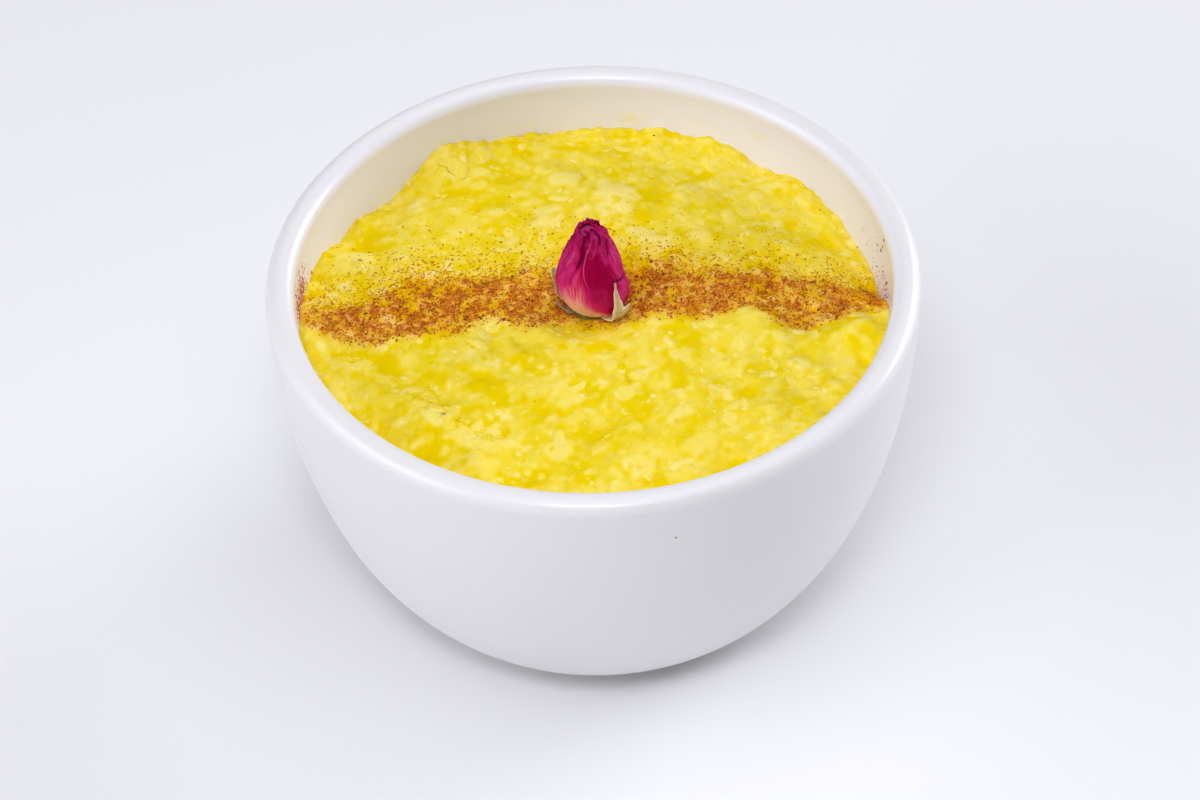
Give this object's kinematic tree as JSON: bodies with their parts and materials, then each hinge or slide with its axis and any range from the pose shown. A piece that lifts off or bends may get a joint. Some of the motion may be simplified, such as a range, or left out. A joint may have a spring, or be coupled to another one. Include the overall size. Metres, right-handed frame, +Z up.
{
  "type": "rice pudding in a bowl",
  "caption": "Saffron rice pudding in a plain white round bowl, with a stripe of ground cinnamon across it and a dried rosebud in the middle.",
  "frame": {"origin": "centre of the bowl's foot, on the surface that it stands on", "axes": "+Z up, the cinnamon stripe runs along X, -Y is the front"},
  "size_m": [0.12, 0.12, 0.0791],
  "materials": {
    "porcelain": "white glaze, glossy, with a few pinhole specks",
    "rice": "wet cooked rice in saffron syrup, glossy and slightly translucent, dusted with ground cinnamon",
    "petal": "dried rose petals, satin, crimson with cream bases",
    "sepal": "dried sepals, matt, greenish beige"
  },
  "bodies": {
    "root": {"bowl": "porcelain", "pudding": "rice", "bud_core": "petal", "petal_front": "petal", "petal_right": "petal", "petal_left": "petal", "calyx": "sepal"}
  },
  "joints": []
}
